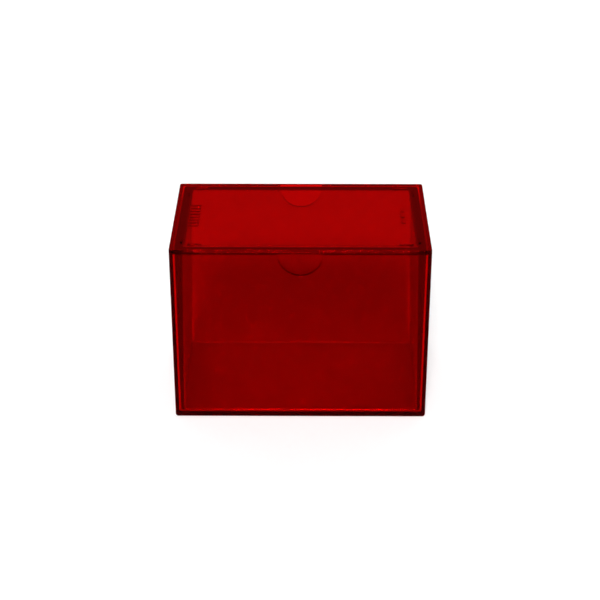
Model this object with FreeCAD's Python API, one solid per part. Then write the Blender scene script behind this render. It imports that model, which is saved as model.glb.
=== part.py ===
import FreeCAD, Part
import os

# Two-piece card deck box: an open base with thumb notches, and a lid whose deep skirt stands inside it.
# Millimetres, +Z up. Origin: the middle of the base's underside. The long side of the box runs along X.

# Whole box, closed
box_width = 103.5  # along X, over the base's rim and the lid plate
box_depth = 67.9  # along Y, over the base's rim and the lid plate
box_height = 75.8  # underside of the base to the top face of the lid plate

# Base
base_wall = 1.45
base_floor = 2.0
base_draft = 0.35  # each wall leans in by this much from the rim down to the foot
corner_radius = 1.2  # outer corners of the base, upright and round the underside, and of the lid plate
base_inner_round = 0.9  # where the base's walls and floor meet inside

# Half-round thumb notches in the rim, front and back
notch_radius = 8.9
notch_drop = 0.3  # centre of the half-round below the rim
notch_edge_round = 0.3

# Lid
plate_thickness = 1.7
plate_edge_round = 0.3
seat_gap = 0.1  # the plate's underside above the base's rim
skirt_foot_wall = 1.1
skirt_top_wall = 2.9  # the draft of the mould's core makes the skirt thicker towards the plate
skirt_gap = 0.65  # skirt to the base's walls, all the way round
skirt_floor_gap = 0.6  # skirt's foot to the base's floor
skirt_corner_radius = 1.2  # upright outer corners of the skirt
skirt_inner_round = 1.2  # inside the skirt, upright corners and where it meets the plate

# Short stacking bars on the plate, one along each edge at each corner
bar_length = 5.6
bar_width = 0.8
bar_height = 0.5
bar_end_inset = 4.5  # end of the plate to the middle of the bars beside it
bar_front_inset = 5.2  # front or back of the plate to the middle of the bars beside it
bar_start = 7.1  # corner of the plate to the near end of the bar

# Rows of blank raised blocks near the plate's ends, in place of moulded lettering
block_height = 0.3
left_row_inset = 8.4  # end of the plate to the middle of the row
left_block_width = 4.2
left_block_length = 1.5
left_block_gap = 1.4
left_block_count = 8
right_row_inset = 10.0
right_block_width = 1.8
right_block_length = 4.4
right_block_gap = 1.4
right_block_count = 3

rim_z = box_height - plate_thickness - seat_gap
plate_z = box_height - plate_thickness
skirt_foot_z = base_floor + skirt_floor_gap


def tapered_box(low_size, high_size, low_z, high_z):
    """Box centred on the Z axis, whose flat walls lean from one rectangle to another."""
    low_x, low_y = low_size[0] / 2, low_size[1] / 2
    high_x, high_y = high_size[0] / 2, high_size[1] / 2
    wedge = Part.makeWedge(-low_x, low_z, -low_y, -high_y, -high_x, low_x, high_z, low_y, high_y, high_x)
    wedge.rotate(FreeCAD.Vector(0, 0, 0), FreeCAD.Vector(1, 0, 0), 90)  # a wedge narrows along its own Y
    return wedge


def upright_edges(solid):
    """The four corner edges that run between the bottom and the top."""
    tall = 0.5 * solid.BoundBox.ZLength
    return [e for e in solid.Edges if e.BoundBox.ZLength > tall]


def edges_at(solid, z):
    """The edges that lie wholly in the plane at height z."""
    return [e for e in solid.Edges if abs(e.BoundBox.ZMin - z) < 0.001 and abs(e.BoundBox.ZMax - z) < 0.001]


def at_height(rim_size, foot_size, rim, foot, z):
    """Width of a leaning wall at height z, carried on in a straight line past either end."""
    return foot_size + (rim_size - foot_size) * (z - foot) / (rim - foot)


def base_outer_size(z):
    """Width and depth of the base's outside at height z."""
    lean = 2 * base_draft
    width = at_height(box_width, box_width - lean, rim_z, 0, z)
    depth = at_height(box_depth, box_depth - lean, rim_z, 0, z)
    return width, depth


def base_inner_size(z):
    """Width and depth of the base's hollow at height z."""
    width, depth = base_outer_size(z)
    return width - 2 * base_wall, depth - 2 * base_wall


def notch_edges(base):
    """The curved edges of the thumb notches, on the inside and the outside of the walls."""
    round_faces = [f for f in base.Faces if isinstance(f.Surface, Part.Cylinder)]
    notch_faces = [f for f in round_faces if f.Surface.Radius == notch_radius]
    return [e for f in notch_faces for e in f.Edges if e.BoundBox.ZLength > notch_radius / 2]


def make_base():
    outside = tapered_box(base_outer_size(0), base_outer_size(rim_z), 0, rim_z)
    outside = outside.makeFillet(corner_radius, upright_edges(outside) + edges_at(outside, 0))

    top_z = rim_z + base_wall  # the hollow runs on past the rim
    hollow = tapered_box(base_inner_size(base_floor), base_inner_size(top_z), base_floor, top_z)
    hollow = hollow.makeFillet(base_inner_round, upright_edges(hollow) + edges_at(hollow, base_floor))
    base = outside.cut(hollow)

    reach = box_depth
    centre = FreeCAD.Vector(0, -reach, rim_z - notch_drop)
    notch = Part.makeCylinder(notch_radius, 2 * reach, centre, FreeCAD.Vector(0, 1, 0))
    base = base.cut(notch)
    return base.makeFillet(notch_edge_round, notch_edges(base))


def skirt_outer_size(z):
    """Width and depth of the skirt's outside at height z."""
    width, depth = base_inner_size(z)
    return width - 2 * skirt_gap, depth - 2 * skirt_gap


def skirt_inner_size(z):
    """Width and depth of the space inside the skirt at height z."""
    wall = at_height(skirt_top_wall, skirt_foot_wall, plate_z, skirt_foot_z, z)
    width, depth = skirt_outer_size(z)
    return width - 2 * wall, depth - 2 * wall


def raised_block(length_x, length_y, height, x, y):
    """Low block on the plate, its upright corners and top edges rounded."""
    corner = FreeCAD.Vector(x - length_x / 2, y - length_y / 2, box_height - plate_thickness / 2)
    block = Part.makeBox(length_x, length_y, height + plate_thickness / 2, corner)
    block = block.makeFillet(0.45 * min(length_x, length_y), upright_edges(block))
    return block.makeFillet(0.5 * height, edges_at(block, block.BoundBox.ZMax))


def stacking_bars():
    """Eight bars, one along each edge of the plate beside each corner."""
    long_x = box_width / 2 - bar_start - bar_length / 2
    long_y = box_depth / 2 - bar_front_inset
    short_x = box_width / 2 - bar_end_inset
    short_y = box_depth / 2 - bar_start - bar_length / 2
    bars = []
    for side_x in (-1, 1):
        for side_y in (-1, 1):
            bars.append(raised_block(bar_length, bar_width, bar_height, side_x * long_x, side_y * long_y))
            bars.append(raised_block(bar_width, bar_length, bar_height, side_x * short_x, side_y * short_y))
    return bars


def block_row(x, width, length, gap, count):
    """Blocks in a line along Y, centred on the plate's middle."""
    first_y = -(count - 1) / 2 * (length + gap)
    return [raised_block(width, length, block_height, x, first_y + i * (length + gap)) for i in range(count)]


def label_blocks():
    """A row of narrow blocks at the left end, and of short ones at the right."""
    left_x = left_row_inset - box_width / 2
    right_x = box_width / 2 - right_row_inset
    left = block_row(left_x, left_block_width, left_block_length, left_block_gap, left_block_count)
    right = block_row(right_x, right_block_width, right_block_length, right_block_gap, right_block_count)
    return left + right


def make_lid():
    corner = FreeCAD.Vector(-box_width / 2, -box_depth / 2, plate_z)
    plate = Part.makeBox(box_width, box_depth, plate_thickness, corner)
    plate = plate.makeFillet(corner_radius, upright_edges(plate))
    plate = plate.makeFillet(plate_edge_round, edges_at(plate, plate_z) + edges_at(plate, box_height))

    root_z = plate_z + 0.5 * plate_thickness  # the skirt's core starts inside the plate
    skirt = tapered_box(skirt_outer_size(skirt_foot_z), skirt_outer_size(root_z), skirt_foot_z, root_z)
    skirt = skirt.makeFillet(skirt_corner_radius, upright_edges(skirt))
    lid = plate.fuse([skirt] + stacking_bars() + label_blocks())

    below = skirt_foot_z - skirt_foot_wall  # the space runs on past the skirt's foot
    space = tapered_box(skirt_inner_size(below), skirt_inner_size(plate_z), below, plate_z)
    space = space.makeFillet(skirt_inner_round, upright_edges(space) + edges_at(space, plate_z))
    return lid.cut(space).removeSplitter()


os.makedirs("parts", exist_ok=True)
pieces = {"base_box": make_base(), "lid": make_lid()}
for name, shape in pieces.items():
    shape.exportStep("parts/" + name + ".step")
    box = shape.BoundBox
    print(name, "valid", shape.isValid(), "solids", len(shape.Solids), "volume", round(shape.Volume))
    print("   x", round(box.XMin, 2), round(box.XMax, 2), " y", round(box.YMin, 2), round(box.YMax, 2),
          " z", round(box.ZMin, 2), round(box.ZMax, 2))
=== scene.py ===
import math

import bpy
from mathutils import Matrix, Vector

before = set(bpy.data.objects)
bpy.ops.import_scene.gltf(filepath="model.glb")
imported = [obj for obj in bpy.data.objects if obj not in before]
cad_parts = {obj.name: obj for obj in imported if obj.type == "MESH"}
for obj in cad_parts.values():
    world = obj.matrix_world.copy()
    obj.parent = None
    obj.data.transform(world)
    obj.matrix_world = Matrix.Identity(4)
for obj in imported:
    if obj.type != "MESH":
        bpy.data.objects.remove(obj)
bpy.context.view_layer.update()  # two bodies: the base, and the lid that lifts out of it
print("frame loaded:", ", ".join(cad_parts))


class Wire:  # a shader socket that takes part in sums; a vector is a three-number tuple or a wire marked so
    def __init__(self, tree, socket, isVector=False):
        self.tree = tree
        self.socket = socket
        self.isVector = isVector

    def math(self, operation, *values):
        isVector = any(isinstance(v, tuple) or (isinstance(v, Wire) and v.isVector) for v in values)
        node = self.tree.nodes.new("ShaderNodeVectorMath" if isVector else "ShaderNodeMath")
        node.operation = operation
        for place, value in enumerate(values):
            if isinstance(value, Wire):
                self.tree.links.new(value.socket, node.inputs[place])
            elif isVector and not isinstance(value, tuple):
                node.inputs[place].default_value = (value, value, value)
            else:
                node.inputs[place].default_value = value
        if operation == "DOT_PRODUCT":
            return Wire(self.tree, node.outputs["Value"])
        return Wire(self.tree, node.outputs[0], isVector)

    def __add__(self, other):
        return self.math("ADD", self, other)

    def __radd__(self, other):
        return self.math("ADD", other, self)

    def __sub__(self, other):
        return self.math("SUBTRACT", self, other)

    def __rsub__(self, other):
        return self.math("SUBTRACT", other, self)

    def __mul__(self, other):
        return self.math("MULTIPLY", self, other)

    def __rmul__(self, other):
        return self.math("MULTIPLY", other, self)

    def __pow__(self, other):
        return self.math("POWER", self, other)

    def __rpow__(self, other):
        return self.math("POWER", other, self)

    def dot(self, other):
        return self.math("DOT_PRODUCT", self, other)

    def largest(self, other):
        return self.math("MAXIMUM", self, other)

    def part(self, axis):  # 0, 1 or 2: the x, y or z of a vector
        node = self.tree.nodes.new("ShaderNodeSeparateXYZ")
        self.tree.links.new(self.socket, node.inputs[0])
        return Wire(self.tree, node.outputs[axis])


class Shader:  # builds the node tree of a material or of the world
    def __init__(self, owner):
        owner.use_nodes = True
        self.owner = owner
        self.tree = owner.node_tree
        self.tree.nodes.clear()

    def node(self, kind, settings=None, inputs=None, out=0, isVector=False):
        node = self.tree.nodes.new(kind)
        for key, value in (settings or {}).items():
            setattr(node, key, value)
        for key, value in (inputs or {}).items():
            if isinstance(value, Wire):
                self.tree.links.new(value.socket, node.inputs[key])
            else:
                node.inputs[key].default_value = value
        return Wire(self.tree, node.outputs[out], isVector) if node.outputs else None

    def noise(self, place, scale, detail=2.0, distortion=0.0):
        return self.node("ShaderNodeTexNoise", inputs={
            "Vector": place, "Scale": scale, "Detail": detail, "Distortion": distortion})

    def ramp(self, value, low, high):  # eases from 0 to 1 as value goes from low to high
        return self.node("ShaderNodeMapRange", {"interpolation_type": "SMOOTHSTEP"}, {
            "Value": value, "From Min": low, "From Max": high})


# See-through red plastic, polished by the mould

def makeClearPlastic(name, look):
    s = Shader(bpy.data.materials.new(name))
    place = s.node("ShaderNodeTexCoord", out=3, isVector=True)

    smudges = s.ramp(s.noise(place, look["smudgeScale"], detail=4.0, distortion=1.2), *look["smudgeSpan"])
    hairlines = s.noise(place * look["hairlineStretch"], look["hairlineScale"], detail=3.0)
    scratched = s.ramp(hairlines, *look["hairlineSpan"])
    roughness = look["polish"] + smudges * look["smudgeHaze"] + scratched * look["scratchHaze"]
    raised = s.ramp(place.part(2), look["frostFrom"], look["frostFrom"] + look["frostEase"])
    roughness = roughness.largest(raised * look["frostHaze"])

    flow = s.noise(place, look["flowScale"], detail=1.0, distortion=0.6) * look["flowHeight"]
    grain = s.noise(place, look["grainScale"]) * look["grainHeight"]
    bumpy = s.node("ShaderNodeBump", inputs={"Strength": 1.0, "Distance": 1.0, "Height": flow + grain})

    mirrorShare = s.node("ShaderNodeFresnel", inputs={"IOR": look["ior"], "Normal": bumpy})
    bent = s.node("ShaderNodeBsdfRefraction", inputs={
        "Color": look["tint"] + (1,), "Roughness": roughness, "IOR": look["ior"], "Normal": bumpy})
    mirrored = s.node("ShaderNodeBsdfGlossy", inputs={
        "Color": look["gloss"] + (1,), "Roughness": roughness, "Normal": bumpy})
    shell = s.node("ShaderNodeMixShader", inputs={0: mirrorShare, 1: bent, 2: mirrored})
    passed = 1 - look["redLossPerMetre"] / look["density"]  # green and blue are lost at the full density
    inside = s.node("ShaderNodeVolumeAbsorption", inputs={
        "Color": (passed, 0.0, 0.0, 1), "Density": look["density"]})
    s.node("ShaderNodeOutputMaterial", inputs={"Surface": shell, "Volume": inside})
    return s.owner


def wear(name, material):  # gives all of a node's faces one material
    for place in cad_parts[name].material_slots:
        place.material = material
    print(name, "has", material.name)


basePlastic = {
    "tint": (1.0, 0.1, 0.1),
    "gloss": (0.65, 0.007, 0.007),
    "ior": 1.57,
    "redLossPerMetre": 128.0,
    "density": 4000.0,
    "polish": 0.0,
    "smudgeScale": 45.0,
    "smudgeSpan": (0.52, 0.72),
    "smudgeHaze": 0.02,
    "hairlineStretch": (14.0, 60.0, 1.5),
    "hairlineScale": 22.0,
    "hairlineSpan": (0.63, 0.66),
    "scratchHaze": 0.03,
    "flowScale": 38.0,
    "flowHeight": 0.00003,
    "grainScale": 1600.0,
    "grainHeight": 0.0000004,
    "frostFrom": 0.5,  # height from which the moulded relief is frosted; nothing of the base reaches it
    "frostEase": 0.00005,
    "frostHaze": 0.2,
}
wear("base_box", makeClearPlastic("clearRedBase", basePlastic))

lidPlastic = dict(
    basePlastic,
    redLossPerMetre=200.0,
    smudgeScale=38.0,
    hairlineStretch=(60.0, 9.0, 1.5),
    frostFrom=0.0759,
)
wear("lid", makeClearPlastic("clearRedLid", lidPlastic))


# Pale table top

table = {
    "width": 60.0,
    "drop": 0.0003,  # below the box's underside, so that the two faces don't fight
    "shade": 0.9,
    "glow": 0.12,
    "mottleScale": 9.0,
    "mottle": 0.01,
    "grainScale": 700.0,
    "grainHeight": 0.000004,
}


def makeTable():
    s = Shader(bpy.data.materials.new("paleCard"))
    place = s.node("ShaderNodeTexCoord", out=3, isVector=True)
    mottle = s.noise(place, table["mottleScale"]) * table["mottle"] + (table["shade"] - table["mottle"] / 2)
    grain = s.node("ShaderNodeBump", inputs={
        "Distance": 1.0, "Height": s.noise(place, table["grainScale"]) * table["grainHeight"]})
    card = s.node("ShaderNodeBsdfPrincipled", inputs={
        "Base Color": mottle, "Roughness": 1.0, "Specular IOR Level": 0.0, "Normal": grain,
        "Emission Color": (1, 1, 1, 1), "Emission Strength": table["glow"]})
    s.node("ShaderNodeOutputMaterial", inputs={"Surface": card})
    bpy.ops.mesh.primitive_plane_add(size=table["width"], location=(0, 0, -table["drop"]))
    top = bpy.context.object
    top.name = "tableTop"
    top.data.materials.append(s.owner)


makeTable()


# Studio: even light all round, a key light before the box, a pale card behind it and a white horizon

studio = {
    "fill": 0.25,
    "key": 130.0,
    "keyElevation": 36.2,
    "keyTurn": -2.0,
    "keySpread": 200.0,
    "card": 0.8,
    "cardReach": (0.3, 0.7),  # how far towards the back it starts and is full, 1 being straight back
    "cardLow": 10.0,
    "cardHigh": 45.0,
    "cardEdge": 10.0,
    "horizon": 0.8,
    "horizonHigh": 7.0,
    "horizonEdge": 7.0,
}


def wayTo(elevation, turn):  # unit vector, elevation up from level and turn away from the front, in degrees
    up, side = math.radians(elevation), math.radians(turn)
    return (math.sin(side) * math.cos(up), -math.cos(side) * math.cos(up), math.sin(up))


def sine(degrees):
    return math.sin(math.radians(degrees))


def makeStudioLight():
    world = bpy.data.worlds.new("studio")
    bpy.context.scene.world = world
    s = Shader(world)
    look = s.node("ShaderNodeTexCoord", out=0, isVector=True)
    key = look.dot(wayTo(studio["keyElevation"], studio["keyTurn"])).largest(0.0) ** studio["keySpread"]
    high = look.dot((0.0, 0.0, 1.0))
    low, top, edge = studio["cardLow"], studio["cardHigh"], studio["cardEdge"]
    upright = s.ramp(high, sine(low), sine(low + edge)) * (1 - s.ramp(high, sine(top - edge), sine(top)))
    card = upright * s.ramp(look.dot((0.0, 1.0, 0.0)), *studio["cardReach"])
    rim = studio["horizonHigh"]
    horizon = 1 - s.ramp(high, sine(rim), sine(rim + studio["horizonEdge"]))
    strength = studio["fill"] + key * studio["key"] + card * studio["card"] + horizon * studio["horizon"]
    sky = s.node("ShaderNodeBackground", inputs={"Color": (1, 1, 1, 1), "Strength": strength})
    s.node("ShaderNodeOutputWorld", inputs={"Surface": sky})


makeStudioLight()
print("studio lit")


camera = {
    "aim": (-0.0003, 0.0, 0.0371),
    "distance": 0.7022,
    "elevation": 26.71,
    "turn": 0.29,
    "lens": 100.26,
    "sensor": 36.0,
}


def makeCamera():
    eye = bpy.data.objects.new("camera", bpy.data.cameras.new("camera"))
    bpy.context.scene.collection.objects.link(eye)
    back = Vector(wayTo(camera["elevation"], camera["turn"]))
    eye.location = Vector(camera["aim"]) + back * camera["distance"]
    eye.rotation_euler = (-back).to_track_quat("-Z", "Y").to_euler()
    eye.data.lens = camera["lens"]
    eye.data.sensor_width = camera["sensor"]
    bpy.context.scene.camera = eye


makeCamera()

scene = bpy.context.scene
scene.view_settings.view_transform = "Standard"
scene.cycles.max_bounces = 32
scene.cycles.transmission_bounces = 32  # light crosses up to sixteen faces on its way through the closed box
scene.cycles.glossy_bounces = 16
scene.cycles.diffuse_bounces = 6
scene.cycles.transparent_max_bounces = 16
print("camera and view set")
